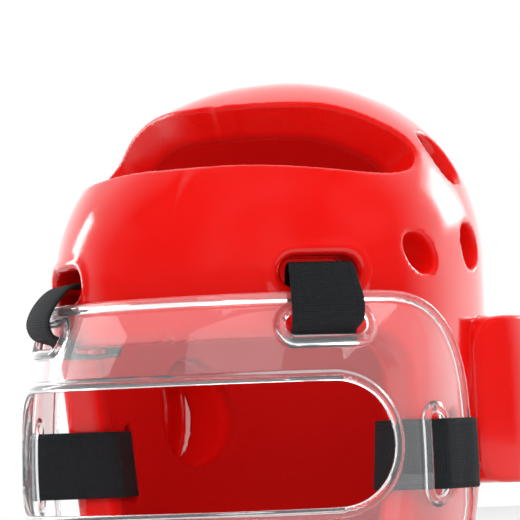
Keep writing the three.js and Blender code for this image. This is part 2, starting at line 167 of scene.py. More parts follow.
# %% Grid of field values
def grid_values(field, rough, low, counts, voxel, band, place):
    """Field values on a grid, worked out only where the rough field says the surface may be."""
    values = np.empty(counts)
    ys, zs = np.meshgrid(np.arange(counts[1]), np.arange(counts[2]), indexing="ij")
    for i in range(counts[0]):
        steps = np.stack([np.full(ys.size, float(i)), ys.ravel(), zs.ravel()], axis=1)
        p = place(steps * voxel + low)
        layer = rough(p)
        near = np.flatnonzero(np.abs(layer) < band)
        if near.size:
            layer[near] = field(p[near])
        values[i] = layer.reshape(ys.shape)
    return values


# %% Net of faces through the grid
def net_corners(values, cells):
    """One corner in each cell, at the middle of the places where its edges cross the surface."""
    summed, crossings = np.zeros((len(cells), 3)), np.zeros((len(cells), 1))
    for a in np.ndindex(2, 2, 2):
        for axis in range(3):
            if a[axis] == 0:
                b = tuple(v + (n == axis) for n, v in enumerate(a))
                va, vb = values[tuple((cells + a).T)], values[tuple((cells + b).T)]
                cross = (va < 0) != (vb < 0)
                share = np.where(cross, va / np.where(cross, va - vb, 1), 0)
                point = np.array(a) + share[:, None] * (np.array(b) - np.array(a))
                summed += point * cross[:, None]
                crossings += cross[:, None]
    return cells + summed / crossings


def surface_net(values):
    """Corners in grid units and four-sided faces of the surface where the values change sign."""
    inside = values < 0
    shape = tuple(n - 1 for n in values.shape)
    total = np.zeros(shape, np.int8)
    for i, j, k in np.ndindex(2, 2, 2):
        total += inside[i:i + shape[0], j:j + shape[1], k:k + shape[2]]
    cells = np.argwhere((total > 0) & (total < 8))
    number = np.full(shape, -1, np.int32)
    number[tuple(cells.T)] = np.arange(len(cells))
    faces = []
    for axis in range(3):
        u, v = (axis + 1) % 3, (axis + 2) % 3
        edge = inside != np.roll(inside, -1, axis=axis)
        keep = [slice(1, n - 1) for n in values.shape]
        keep[axis] = slice(0, values.shape[axis] - 1)
        clean = np.zeros_like(edge)
        clean[tuple(keep)] = edge[tuple(keep)]
        at = np.argwhere(clean)
        quad = []
        for du, dv in ((-1, -1), (0, -1), (0, 0), (-1, 0)):
            cell = at.copy()
            cell[:, u] += du
            cell[:, v] += dv
            quad.append(number[tuple(cell.T)])
        quad = np.stack(quad, axis=1)
        leaving = inside[tuple(at.T)]
        quad[~leaving] = quad[~leaving][:, ::-1]
        faces.append(quad)
    return net_corners(values, cells), np.concatenate(faces)


ball = np.linalg.norm(np.indices((9, 9, 9)) - 4.0, axis=0) - 2.5
print("a small test ball:", [len(part) for part in surface_net(ball)], "corners and faces")

# %% [markdown]
# The corners are then slid along the field's slope onto the exact surface. The slope also gives
# each corner its normal, so a gloss runs over the mesh without a ripple. The grid may be bent: a
# thin sheet meshes best on a grid that follows it.

# %% Mesh from a distance field
SLIDES = 3
SLOPE_FLOOR = 0.1


def field_slope(field, p, step=0.15):
    slope = np.empty_like(p)
    for axis in range(3):
        ahead, behind = p.copy(), p.copy()
        ahead[:, axis] += step
        behind[:, axis] -= step
        slope[:, axis] = (field(ahead) - field(behind)) / (2 * step)
    return slope


def mesh_from_field(name, field, rough, low, high, voxel, band, place=lambda p: p):
    """Meshes a field on an upright grid, or on a bent one if place says where its corners lie."""
    low = np.array(low, float)
    counts = tuple(np.ceil((np.array(high) - low) / voxel).astype(int) + 1)
    corners, faces = surface_net(grid_values(field, rough, low, counts, voxel, band, place))
    points = place(corners * voxel + low)
    for _ in range(SLIDES):
        slope = field_slope(field, points)
        steep = np.maximum((slope ** 2).sum(1, keepdims=True), SLOPE_FLOOR)
        move = field(points)[:, None] * slope / steep
        points -= np.clip(move, -voxel / 2, voxel / 2)
    slope = field_slope(field, points)
    normals = slope / np.linalg.norm(slope, axis=1, keepdims=True)
    mesh = bpy.data.meshes.new(name)
    placed = (points + (0, AXIS_Y, 0)) * MM
    mesh.from_pydata(placed.tolist(), [], faces.tolist())
    mesh.shade_smooth()
    mesh.normals_split_custom_set_from_vertices(normals.tolist())
    piece = bpy.data.objects.new(name, mesh)
    bpy.context.collection.objects.link(piece)
    print(name, len(points), "corners,", 2 * len(faces), "triangles")
    return piece, points


# %% [markdown]
# ## The foam shell
# The shell is the space between an outer and an inner skin: a dome that leans back, on a skirt
# that tapers to the jaw. A rounded oval has a handy property: one sum of powers tells how far out
# a point is, as a share of the way to the skin, so no search for the nearest point is needed.

# %% Skins of the foam
CROWN_HEIGHT = 261
FOAM = 23
HALF_WIDTH, HALF_LENGTH = 106, 121
DOME_RISE = 105
DOME_BASE = CROWN_HEIGHT - DOME_RISE
DOME_POWER, OVAL_POWER = 2.1, 2.2
CROWN_LEAN = {"reach": 25, "power": 1.3}
LOW_TAPER = {"width": 12, "front": 16, "back": 34}


def foam_skin(p, depth):
    x, y, z = p.T
    drop = np.maximum(0, (DOME_BASE - z) / DOME_BASE) ** 2
    rise = np.maximum(0, z - DOME_BASE)
    y = y - CROWN_LEAN["reach"] * (rise / DOME_RISE) ** CROWN_LEAN["power"]
    taper = np.where(y < 0, LOW_TAPER["front"], LOW_TAPER["back"])
    half_width = HALF_WIDTH - LOW_TAPER["width"] * drop - depth
    half_length = HALF_LENGTH - taper * drop - depth
    oval = (np.abs(x) / half_width) ** OVAL_POWER + (np.abs(y) / half_length) ** OVAL_POWER
    share = oval ** (DOME_POWER / OVAL_POWER) + (rise / (DOME_RISE - depth)) ** DOME_POWER
    return share ** (1 / DOME_POWER) - 1


def even_skin(p):
    return true_distance(lambda q: foam_skin(q, 0), p)


def inner_skin(p):
    return true_distance(lambda q: foam_skin(q, FOAM), p)


temple = np.array([(HALF_WIDTH, 0.0, DOME_BASE)])
print("foam at the temple: %.1f mm" % inner_skin(temple)[0])

# %% [markdown]
# Dipped foam is never dead even, and a gloss shows that at once. Two sets of slow waves keep the
# skin from looking machined, and a soft crease runs down the middle of the brow, where the guard
# was folded flat.

# %% Unevenness of the skin
# Columns: height, lengths along x, y and z, starts along x, y and z, sway
WAVES = [
    (0.20, (15, 19, 17), (0, 1.1, 0.6), 0.4),
    (0.10, (7.3, 8.1, 6.7), (2.1, 0.3, 1.9), 0),
]
SWAY_LENGTH = 21
TIGHT_TOP = (215, 245)
CREASE = {
    "fades_in": (158, 185), "fades_out": (200, 214), "sway": 1.2, "sway_length": 9,
    "depth": 0.30, "width": 2.6, "ridge": 0.22, "ridge_at": 6, "ridge_width": 4.5,
}


def smooth_step(value, start, end):
    share = np.clip((value - start) / (end - start), 0, 1)
    return share * share * (3 - 2 * share)


def hump(value, middle, width):
    """A soft rise that is 1 at its middle."""
    return np.exp(-((value - middle) / width) ** 2)


def soft_waves(p):
    """The slow unevenness of the foam, which dies out on the tight top of the dome."""
    x, y, z = p.T
    waves = 0
    for height, lengths, starts, sway in WAVES:
        swayed = x / lengths[0] + starts[0] + sway * np.sin(z / SWAY_LENGTH)
        along, up = y / lengths[1] + starts[1], z / lengths[2] + starts[2]
        waves = waves + height * np.sin(swayed) * np.sin(along) * np.sin(up)
    return (1 - smooth_step(z, *TIGHT_TOP)) * waves


def brow_crease(p):
    """A dip down the middle of the brow, with a low ridge beside it."""
    x, y, z = p.T
    low, high = CREASE["fades_out"]
    reach = smooth_step(z, *CREASE["fades_in"]) * smooth_step(-z, -high, -low) * (y < 0)
    line = x + CREASE["sway"] * np.sin(z / CREASE["sway_length"])
    dip = CREASE["depth"] * hump(line, 0, CREASE["width"])
    ridge = CREASE["ridge"] * hump(line, CREASE["ridge_at"], CREASE["ridge_width"])
    return reach * (dip - ridge)


def outer_skin(p):
    return even_skin(p) + soft_waves(p) + brow_crease(p)


print("the temple's skin is moved by %.2f mm" % soft_waves(temple)[0])

# %% [markdown]
# Each opening is an outline drawn on a chart of the head. The face opening, the vents and the strap
# slots are drawn in degrees round the head and millimetres up; the opening over the forehead and
# the vent behind it are drawn in angles from the middle of the dome, so their walls point there.

# %% Outlines of the two big openings
# Columns: degrees round the head, degrees up to the lower edge, degrees up to the upper edge
CROWN_OPENING = [
    (0, 29.2, 58.5), (20, 28.8, 58), (40, 27.3, 57), (55, 26.4, 55.3),
    (66, 27, 51.5), (75, 29, 46.5), (81, 32.4, 42.5), (84, 35.6, 39.2),
]
BROW_EDGE = CROWN_HEIGHT - 138
# Columns: half angle of the face opening, height
FACE_OPENING = [
    (54, -20), (56, 0), (60, 25), (62, 46), (62.3, 65), (62, 84),
    (60.5, 104), (57.5, 113), (53, 119.5), (45, BROW_EDGE),
]
CHART_RADIUS = 125
FOREHEAD_TILT = 42


def mirrored(half):
    return np.concatenate([half, (half * (-1, 1))[::-1]])


def towards(turn, up):
    """The direction at an angle round the head and an angle up."""
    turn, up = np.radians(turn), np.radians(up)
    flat = np.cos(up)
    return np.stack([np.sin(turn) * flat, -np.cos(turn) * flat, np.sin(up)], axis=-1)


FOREHEAD = towards(0, FOREHEAD_TILT)
FOREHEAD_UP = towards(0, FOREHEAD_TILT + 90)


def on_forehead_chart(direction):
    """Flat coordinates, in radians, of directions from the dome's middle."""
    angle = np.arccos(np.clip(direction @ FOREHEAD, -1, 1))
    stretch = angle / np.maximum(np.sin(angle), 1e-6)
    return stretch * direction[:, 0], stretch * (direction @ FOREHEAD_UP)


rim = [(turn, low) for turn, low, _ in CROWN_OPENING]
rim += [(turn, high) for turn, _, high in CROWN_OPENING[::-1]]
rim = mirrored(smooth_line(rim, 56))
crown_rim = np.stack(on_forehead_chart(towards(rim[:, 0], rim[:, 1])), axis=1)
face_rim = mirrored(smooth_line(FACE_OPENING, 40)) * (math.radians(CHART_RADIUS), 1)
print("outlines:", len(crown_rim), "points over the forehead,", len(face_rim), "round the face")

# %% [markdown]
# The guard has been folded for packing, so the rear rim of the forehead opening has a few soft
# folds, and the edge under the brow is wrinkled. Both are small shifts of the outline.

# %% Big openings as fields
# Columns: place, width and depth of each fold
FOLDS = [(-9, 3.5, -0.9), (-2, 2.6, 1.1), (5, 3.0, -0.9)]
FOLDED_RIM = (218, 230)
WRINKLES = {"fade_in": (104, 118), "reach": 9, "per_mm": 0.9, "slant": 6, "depth": 0.7}


def from_dome(p):
    return p - (0, 0, DOME_BASE)


def crown_opening(p):
    def chart(q):
        away = from_dome(q)
        direction = away / np.maximum(np.linalg.norm(away, axis=1, keepdims=True), 1e-6)
        return outline_distance(crown_rim, *on_forehead_chart(direction))

    x, _, z = p.T
    folds = sum(depth * hump(x, middle, width) for middle, width, depth in FOLDS)
    return true_distance(chart, p) + smooth_step(z, *FOLDED_RIM) * folds


def face_opening(p):
    def chart(q):
        return outline_distance(face_rim, np.radians(degrees_round(q)) * CHART_RADIUS, q[:, 2])

    x, y, z = p.T
    ripple = np.sin(x * WRINKLES["per_mm"] + y / WRINKLES["slant"])
    wrinkles = hump(x, 0, WRINKLES["reach"]) * ripple * WRINKLES["depth"]
    return true_distance(chart, p) + smooth_step(z, *WRINKLES["fade_in"]) * wrinkles


brow_middle = np.array([(0.0, -HALF_LENGTH, BROW_EDGE + 20)])
print("20 mm up the brow, the face opening is %.1f mm away" % face_opening(brow_middle)[0])

# %% [markdown]
# The vents let heat out at the sides. Both sides are alike, so the field folds the right side over
# onto the left, and each hole is worked out once.

# %% Vents
# Columns: degrees round, height, width, height of the hole, lean of its top towards the brow
SIDE_VENTS = [
    (67.5, CROWN_HEIGHT - 97.7, 21.5, 19, 0.35),
    (97.5, CROWN_HEIGHT - 92.5, 24, 22, 0),
]
CROWN_VENT = {"round": 102, "up": 33.5, "width": 25, "height": 31}


def fold(p):
    """Lays the right side over the left."""
    return np.abs(p * (1, 0, 0)) + p * (0, 1, 1)


def round_hole(p, turn, height, wide, tall, radius, lean=0.0):
    def chart(q):
        up = q[:, 2] - height
        across = np.radians(degrees_round(q) - turn) * radius + lean * up
        return stadium(across, up, wide, tall)

    return true_distance(chart, p)


def side_vents(folded):
    return [round_hole(folded, turn, height, wide, tall, HALF_WIDTH, lean)
            for turn, height, wide, tall, lean in SIDE_VENTS]


def crown_vent(folded):
    middle = math.radians(CROWN_VENT["up"])

    def chart(q):
        away = from_dome(q)
        climb = np.arctan2(away[:, 2], np.hypot(away[:, 0], away[:, 1]))
        turn = np.radians(degrees_round(q) - CROWN_VENT["round"])
        across, up = turn * math.cos(middle) * HALF_WIDTH, (climb - middle) * HALF_WIDTH
        return stadium(across, up, CROWN_VENT["width"], CROWN_VENT["height"])

    return true_distance(chart, folded)


print("the temple is %.1f mm from the nearest side vent"
      % min(vent[0] for vent in side_vents(temple)))

# %% [markdown]
# The ear cup is a domed boss with round corners that grows out of the foam, with a sound hole in
# its face and a hollow for the ear behind. Its face falls away towards the front and the rear, a
# little towards the top and the foot, and ends in a small round edge.

# %% Ear cups
EAR = {
    "y": 48, "z": 91, "half_length": 43, "half_height": 42.5, "corner": 6, "reach": 125.5,
    "root": 88, "hole": 24,
}
EAR_FACE = {"fall": 15, "power": 2.2, "tilt": 2, "tilt_power": 3, "out_to": 1.2}
EAR_HOLLOW = {"half_length": 22, "half_height": 29, "reach": 101, "root": 30}
LIPS = {
    "crown": 2.4, "face": 7, "foot": 6, "vent": 2.8, "slot": 3.6, "inner": 2,
    "ear": 2.4, "ear_foot": 0.8, "ear_hole": 4, "ear_hollow": 5,
}


def ear_cup(p):
    def shares(q):
        return (np.abs(q[:, 1] - EAR["y"]) / EAR["half_length"],
                np.abs(q[:, 2] - EAR["z"]) / EAR["half_height"])

    def side(q):
        along, up = shares(q)
        return (along ** EAR["corner"] + up ** EAR["corner"]) ** (1 / EAR["corner"]) - 1

    def face(q):
        along, up = (np.minimum(share, EAR_FACE["out_to"]) for share in shares(q))
        fall = EAR_FACE["fall"] * along ** EAR_FACE["power"]
        return q[:, 0] - EAR["reach"] + (fall + EAR_FACE["tilt"] * up ** EAR_FACE["tilt_power"])

    cup = round_cut(true_distance(side, p), true_distance(face, p), LIPS["ear"])
    return np.maximum(cup, EAR["root"] - p[:, 0])


def ear_hollows(p):
    """The sound hole and the hollow for the ear."""
    hole = np.hypot(p[:, 1] - EAR["y"], p[:, 2] - EAR["z"]) - EAR["hole"] / 2

    def oval(q):
        return np.hypot((q[:, 1] - EAR["y"]) / EAR_HOLLOW["half_length"],
                        (q[:, 2] - EAR["z"]) / EAR_HOLLOW["half_height"]) - 1

    hollow = round_cut(true_distance(oval, p), p[:, 0] - EAR_HOLLOW["reach"], LIPS["ear_hollow"])
    root = EAR_HOLLOW["root"] - p[:, 0]
    return np.maximum(hole, root), np.maximum(hollow, root)


ear_middle = np.array([(EAR["reach"], EAR["y"], EAR["z"])])
print("the ear cup stands %.1f mm out of the foam" % even_skin(ear_middle)[0])

# %% [markdown]
# Four slots take the straps: two in the brow, two in the cheeks. The foam swells a little round
# the brow slots, where their walls are pressed, which shows as a soft raised ring in the gloss.

# %% Strap slots
BROW_STRAP = {
    "round": 36.5, "foam_slot_z": 154, "foam_slot_height": 15, "mask_slot_z": 128.5,
    "slot_width": 40, "slot_radius": 118,
}
CHEEK_STRAP = {
    "z": 65, "foam_slot_round": 81.5, "foam_slot_width": 10, "mask_slot_round": 63,
    "slot_height": 40, "slot_radius": 103,
}
SWELLING = {"height": 0.9, "away": 4.5, "width": 2.6}


def strap_slots(folded):
    brow, cheek = BROW_STRAP, CHEEK_STRAP
    return (
        round_hole(folded, brow["round"], brow["foam_slot_z"], brow["slot_width"],
                   brow["foam_slot_height"], brow["slot_radius"]),
        round_hole(folded, cheek["foam_slot_round"], cheek["z"], cheek["foam_slot_width"],
                   cheek["slot_height"], cheek["slot_radius"]),
    )


print("strap slots at", BROW_STRAP["foam_slot_z"], "mm and", CHEEK_STRAP["z"], "mm up")

# %% [markdown]
# Now the shell comes together in the order in which it could be made: the outer skin with its ear
# cups, the foot with its raised nape, the openings one after another, and the inner skin last.

# %% The whole foam shell
NAPE = {"lift": 22, "starts_at": 112, "span": 55}
SHELL_GRID = {"low": (-131, -127, -4), "high": (131, 127, 266), "band": 16}


def foam_rough(p):
    """The shell without its openings, for finding where the surface may be."""
    folded = fold(p)
    return np.minimum(np.maximum(even_skin(folded), -inner_skin(folded)), ear_cup(folded))


def foam_field(p):
    folded = fold(p)
    brow_slot, cheek_slot = strap_slots(folded)
    ear_hole, ear_hollow = ear_hollows(folded)
    swelling = SWELLING["height"] * hump(brow_slot, SWELLING["away"], SWELLING["width"])
    foam = round_join(outer_skin(p) - swelling, ear_cup(folded), LIPS["ear_foot"])
    nape_end = NAPE["starts_at"] + NAPE["span"]
    nape = NAPE["lift"] * smooth_step(degrees_round(folded), NAPE["starts_at"], nape_end)
    foam = round_cut(foam, nape - p[:, 2], LIPS["foot"])
    foam = round_cut(foam, -crown_opening(p), LIPS["crown"])
    foam = round_cut(foam, -face_opening(p), LIPS["face"])
    for vent in side_vents(folded) + [crown_vent(folded)]:
        foam = round_cut(foam, -vent, LIPS["vent"])
    for slot in (brow_slot, cheek_slot):
        foam = round_cut(foam, -slot, LIPS["slot"])
    foam = round_cut(foam, -ear_hole, LIPS["ear_hole"])
    foam = round_cut(foam, -inner_skin(p), LIPS["inner"])
    return round_cut(foam, -ear_hollow, LIPS["inner"])


shell_voxel = 2.15
shell, shell_points = mesh_from_field(
    "foam_shell_skin", foam_field, foam_rough, SHELL_GRID["low"], SHELL_GRID["high"],
    shell_voxel, SHELL_GRID["band"])
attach(shell, "root")
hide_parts("foam_shell")

# %% [markdown]
# ## The clear mask
# The mask is one bowed sheet of clear plastic, 2.6 mm thick, with a round bead moulded along its
# edge, round the open window and round the four strap slots. Its outline has rounded corners, and
# its sheet bows out most a little below its middle.

# %% Outline and bow of the mask
MASK = {
    "top": CROWN_HEIGHT - 116.5, "half_angle": 77, "sheet": 2.6, "bead": 4.4, "bead_width": 4.6,
}
MASK_TOP_CORNER = {"starts_at": 51, "drop": 54, "power": 2.5}
MASK_LOW_CORNER = {"starts_at": 52, "rise": 42, "power": 2}
MASK_BOW = {
    "width": 107.4, "width_bulge": 8, "length": 122.6, "length_bulge": 24, "z": 62, "span": 82,
}


def mask_halves(z):
    """Half the width and half the length of the mask's oval at a height."""
    bulge = 1 - ((z - MASK_BOW["z"]) / MASK_BOW["span"]) ** 2
    return (MASK_BOW["width"] + MASK_BOW["width_bulge"] * bulge,
            MASK_BOW["length"] + MASK_BOW["length_bulge"] * bulge)


def mask_face(p):
    """Zero on the inner face of the sheet."""
    x, y, z = p.T
    half_width, half_length = mask_halves(z)
    oval = (np.abs(x) / half_width) ** OVAL_POWER + (np.abs(y) / half_length) ** OVAL_POWER
    return oval ** (1 / OVAL_POWER) - 1


def corner_share(turn, corner):
    span_left = MASK["half_angle"] - corner["starts_at"]
    past = np.maximum(0, np.abs(turn) - corner["starts_at"]) / span_left
    return 1 - np.maximum(0, 1 - past ** corner["power"]) ** (1 / corner["power"])


turns = MASK["half_angle"] * np.sin(np.radians(np.linspace(-90, 90, 49)))
under = MASK_LOW_CORNER["rise"] * corner_share(turns, MASK_LOW_CORNER)
over = MASK["top"] - MASK_TOP_CORNER["drop"] * corner_share(turns, MASK_TOP_CORNER)
mask_rim = np.concatenate([np.stack([turns, under], 1), np.stack([turns, over], 1)[::-1]])
mask_rim = mask_rim * (math.radians(CHART_RADIUS), 1)
print("mask outline:", len(mask_rim), "points, %.0f mm high" % mask_rim[:, 1].max())

# %% [markdown]
# In clear plastic the edges are what the eye reads, so the beads are real rods in the mesh, melted
# into the sheet, and not drawn on. A thin rod comes out ragged on an upright grid that cuts it at
# a slant, so this mesh uses a grid that is bent with the sheet.

# %% The mask as a field
WINDOW = {"half_angle": 50, "low": 42, "high": CROWN_HEIGHT - 159.5}
MASK_SLOT = {"brow": 10, "cheek": 9}
# Columns: degrees round, height, width, height of each hole on the left half
MASK_HOLES = [
    (0, (WINDOW["high"] + WINDOW["low"]) / 2,
     2 * math.radians(WINDOW["half_angle"]) * CHART_RADIUS, WINDOW["high"] - WINDOW["low"]),
    (BROW_STRAP["round"], BROW_STRAP["mask_slot_z"],
     BROW_STRAP["slot_width"], MASK_SLOT["brow"]),
    (CHEEK_STRAP["mask_slot_round"], CHEEK_STRAP["z"],
     MASK_SLOT["cheek"], CHEEK_STRAP["slot_height"]),
]
ROD = MASK["bead_width"] / 2
ROD_SINK = 0.3
ROD_HEIGHT = (MASK["bead"] - ROD_SINK) / 2
ROD_FILLET = 1.4
MASK_SPACE = {"middle": 72, "half_height": 76, "past_end": 2, "past_rod": 0.3}


def mask_rough(p):
    sheet = np.abs(true_distance(mask_face, p) - ROD_HEIGHT) - ROD - MASK_SPACE["past_rod"]
    sideways = np.abs(degrees_round(p)) - MASK["half_angle"] - MASK_SPACE["past_end"]
    upward = np.abs(p[:, 2] - MASK_SPACE["middle"]) - MASK_SPACE["half_height"]
    return np.maximum(sheet, np.maximum(sideways, upward))


def mask_field(p):
    folded = fold(p)
    out = true_distance(mask_face, p)

    def chart(q):
        return outline_distance(mask_rim, np.radians(degrees_round(q)) * CHART_RADIUS, q[:, 2])

    edge = true_distance(chart, folded)
    sheet = np.maximum(np.abs(out - MASK["sheet"] / 2) - MASK["sheet"] / 2, edge + ROD)
    rods = np.hypot(edge + ROD, out - ROD_HEIGHT) - ROD
    for turn, height, wide, tall in MASK_HOLES:
        hole = round_hole(folded, turn, height, wide, tall, CHART_RADIUS)
        sheet = np.maximum(sheet, ROD - hole)
        rods = np.minimum(rods, np.hypot(hole - ROD, out - ROD_HEIGHT) - ROD)
    return round_join(sheet, rods, ROD_FILLET)


# %% Mesh of the mask
MASK_GRID = {"past_rim": 3, "inward": 2, "outward": 7, "band": 4}


def mask_chart(q):
    """Where a point of the flat sheet, given by way round, height and depth, lies on the mask."""
    way, z, off = q.T
    turn = way / CHART_RADIUS
    bowed = mask_face(np.stack([np.sin(turn), -np.cos(turn), z], axis=1))
    radius = 1 / (bowed + 1) + off
    return np.stack([radius * np.sin(turn), -radius * np.cos(turn), z], axis=1)


mask_voxel = 0.95
mask_half = math.radians(MASK["half_angle"]) * CHART_RADIUS + MASK_GRID["past_rim"]
mask_low = (-mask_half, -MASK_GRID["past_rim"], -MASK_GRID["inward"])
mask_high = (mask_half, MASK["top"] + MASK_GRID["past_rim"], MASK_GRID["outward"])
mask, _ = mesh_from_field("clear_mask", mask_field, mask_rough, mask_low, mask_high,
                          mask_voxel, MASK_GRID["band"], mask_chart)
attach(mask, "root")
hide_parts("face_mask")
mask.visible_shadow = False

# %% [markdown]
# ## The straps
# Four short loops of black webbing tie the mask to the foam, each sewn into a ring through a slot
# in the foam and a slot in the mask. Webbing is woven flat, so a strap is a flat band swept along
# its route. The route is a table of points, each a stand-off from the foam's inside, the foam's
# outside or the mask.

# %% Stand-offs from the foam and the mask
def oval_radius(turn, half_width, half_length):
    across = abs(math.sin(math.radians(turn))) / half_width
    along = abs(math.cos(math.radians(turn))) / half_length
    return (across ** OVAL_POWER + along ** OVAL_POWER) ** (-1 / OVAL_POWER)


def foam_radius(turn, z, depth):
    drop = max(0, (DOME_BASE - z) / DOME_BASE) ** 2
    taper = LOW_TAPER["front"] if math.cos(math.radians(turn)) > 0 else LOW_TAPER["back"]
    half_width = HALF_WIDTH - LOW_TAPER["width"] * drop - depth
    return oval_radius(turn, half_width, HALF_LENGTH - taper * drop - depth)


BASES = {
    "inside": lambda turn, z: foam_radius(turn, z, FOAM),
    "outside": lambda turn, z: foam_radius(turn, z, 0),
    "mask": lambda turn, z: oval_radius(turn, *mask_halves(z)),
}


def round_the_head(turn, z, base, off):
    radius = BASES[base](turn, z) + off
    return (radius * math.sin(math.radians(turn)), -radius * math.cos(math.radians(turn)), z)


brow_slot_at = BROW_STRAP["round"], BROW_STRAP["mask_slot_z"]
print("the mask stands %.1f mm off the brow"
      % (BASES["mask"](*brow_slot_at) - BASES["outside"](*brow_slot_at)))

# %% [markdown]
# A brow strap comes out of its slot, goes over the mask's upper edge, in through the mask's slot
# and back under the brow. The left one is pulled up to the top of its slot, the right one isn't.

# %% Routes of the brow straps
BROW_EXIT = {1: BROW_STRAP["foam_slot_z"] + 4.2, -1: BROW_STRAP["foam_slot_z"] + 0.6}


def brow_table(leaves_at):
    """Columns: what the point stands off from, how far, height."""
    rim_top, slot, brow = MASK["top"], BROW_STRAP["mask_slot_z"], BROW_EDGE
    return [
        ("inside", -1.7, brow + 0.5), ("inside", -2.1, brow + 10), ("inside", -2.4, brow + 18),
        ("inside", -2.5, leaves_at - 7), ("inside", 0, leaves_at - 2.5),
        ("inside", 5, leaves_at - 0.8), ("outside", -8, leaves_at),
        ("outside", 1.5, leaves_at - 1), ("mask", 8.2, rim_top + 5), ("mask", 11, rim_top - 3),
        ("mask", 10.4, slot + 7), ("mask", 6, slot + 1.4), ("mask", 0.2, slot - 0.8),
        ("outside", 3, brow + 3), ("outside", 1, brow - 2.6), ("outside", -5, brow - 3.8),
        ("inside", 5, brow - 3.8), ("inside", -0.4, brow - 3.2),
    ]


def brow_route(side, shift):
    turn = side * (BROW_STRAP["round"] + math.degrees(shift / CHART_RADIUS))
    return [round_the_head(turn, z, base, off) for base, off, z in brow_table(BROW_EXIT[side])]


print("brow routes of", len(brow_route(1, 0)), "points")

# %% [markdown]
# A cheek strap lies level. It goes round the front edge of the cheek, out through the mask's slot,
# round the mask's rear edge and back in through the slot in the foam.

# %% Routes of the cheek straps
MASK_END = MASK["half_angle"]
MASK_HOLE = CHEEK_STRAP["mask_slot_round"]
FOAM_HOLE = CHEEK_STRAP["foam_slot_round"]
# Columns: what the point stands off from, how far, degrees round
CHEEK_TABLE = [
    ("inside", -2, 75), ("inside", -2, 70), ("inside", -2, 65), ("inside", -2, 61.2),
    ("inside", 3, 59.8), ("outside", -3, 60.2), ("outside", 3, 61), ("mask", -5, MASK_HOLE - 1.1),
    ("mask", 2.6, MASK_HOLE + 0.3), ("mask", 6, MASK_HOLE + 1.1), ("mask", 6.4, MASK_HOLE + 3.6),
    ("mask", 6, 70), ("mask", 6, MASK_END - 1.4), ("mask", 4.2, MASK_END + 1.6),
    ("mask", -2, FOAM_HOLE - 0.8), ("outside", -2, FOAM_HOLE), ("inside", 6, FOAM_HOLE),
    ("inside", 0.4, FOAM_HOLE - 0.1), ("inside", -2.2, FOAM_HOLE - 2.8),
]


def cheek_route(side, shift):
    z = CHEEK_STRAP["z"] + shift
    return [round_the_head(side * turn, z, base, off) for base, off, turn in CHEEK_TABLE]


print("cheek routes of", len(cheek_route(1, 0)), "points")

# %% [markdown]
# Webbing bends in an even curve and doesn't overshoot its corners. A plain smooth curve does where
# close and distant points follow each other, so its speed is set by the root of their distances.

# %% Even curve through a route
def even_curve(points, closed, count, steps=24):
    """Evenly spaced points on a smooth curve, and the curve's length."""
    points = np.array(points, float)
    size = len(points)
    dense = []
    for i in range(size if closed else size - 1):
        if closed:
            a, b, c, d = (points[(i + k) % size] for k in (-1, 0, 1, 2))
        else:
            b, c = points[i], points[i + 1]
            a = points[i - 1] if i else 2 * b - c
            d = points[i + 2] if i + 2 < size else 2 * c - b
        k0, k1, k2 = (max(np.linalg.norm(q - p) ** 0.5, 1e-4) for p, q in ((a, b), (b, c), (c, d)))
        leave = ((b - a) / k0 - (c - a) / (k0 + k1) + (c - b) / k1) * k1
        arrive = ((c - b) / k1 - (d - b) / (k1 + k2) + (d - c) / k2) * k1
        for t in np.arange(steps) / steps:
            dense.append(b + leave * t + (3 * (c - b) - 2 * leave - arrive) * t ** 2
                         + (2 * (b - c) + leave + arrive) * t ** 3)
    dense.append(dense[0] if closed else points[-1])
    dense = np.array(dense)
    run = np.concatenate([[0], np.cumsum(np.linalg.norm(np.diff(dense, axis=0), axis=1))])
    wanted = np.linspace(0, run[-1], count + 1)
    even = np.stack([np.interp(wanted, run, dense[:, k]) for k in range(3)], axis=1)
    return (even[:-1] if closed else even), run[-1]


print("a brow strap's middle is %.0f mm long" % even_curve(brow_route(1, 0), True, 150)[1])

# %% [markdown]
# A webbing band is thickest in its middle, thin at its edges, and carries a raised cord near each
# edge where the weave turns back. The band's own length and width are stored as UV coordinates in
# metres, so that the weave can follow every bend.

# %% Shape across a band
CORD_INSET = 3.0


def band_profile(width, thick):
    """Columns: place across the band, half its thickness there."""
    half = width / 2
    cord = half - CORD_INSET
    rows = [(-half, 0.30), (-half + 0.35, 0.72), (-half + 1.0, 0.86)]
    rows += [(-cord - 0.75, 0.80), (-cord - 0.35, 1.0), (-cord + 0.35, 1.0), (-cord + 0.75, 0.80)]
    rows += [(place, 0.86) for place in np.linspace(-cord + 2, 0, 5)]
    rows += [(-place, share) for place, share in rows[-2::-1]]
    return [(place, share * thick / 2) for place, share in rows]


STRAP = {"width": 34, "thick": 1.8, "rows": 150}
print(len(band_profile(STRAP["width"], STRAP["thick"])), "rows of corners across a band")


# %% Bands of webbing
def band_sections(route_at, profile, closed, count):
    """Rings of points along the band, and its mean length."""
    curves, lengths = zip(*(even_curve(route_at(place), closed, count) for place, _ in profile))
    middle = np.stack(curves)
    along = np.roll(middle, -1, axis=1) - np.roll(middle, 1, axis=1)
    if not closed:
        along[:, 0], along[:, -1] = middle[:, 1] - middle[:, 0], middle[:, -1] - middle[:, -2]
    normal = np.cross(along, np.gradient(middle, axis=0))
    normal /= np.linalg.norm(normal, axis=2, keepdims=True)
    depth = np.array([half for _, half in profile])[:, None, None]
    section = np.concatenate([middle + normal * depth, (middle - normal * depth)[::-1]])
    return section.transpose(1, 0, 2), sum(lengths) / len(lengths)


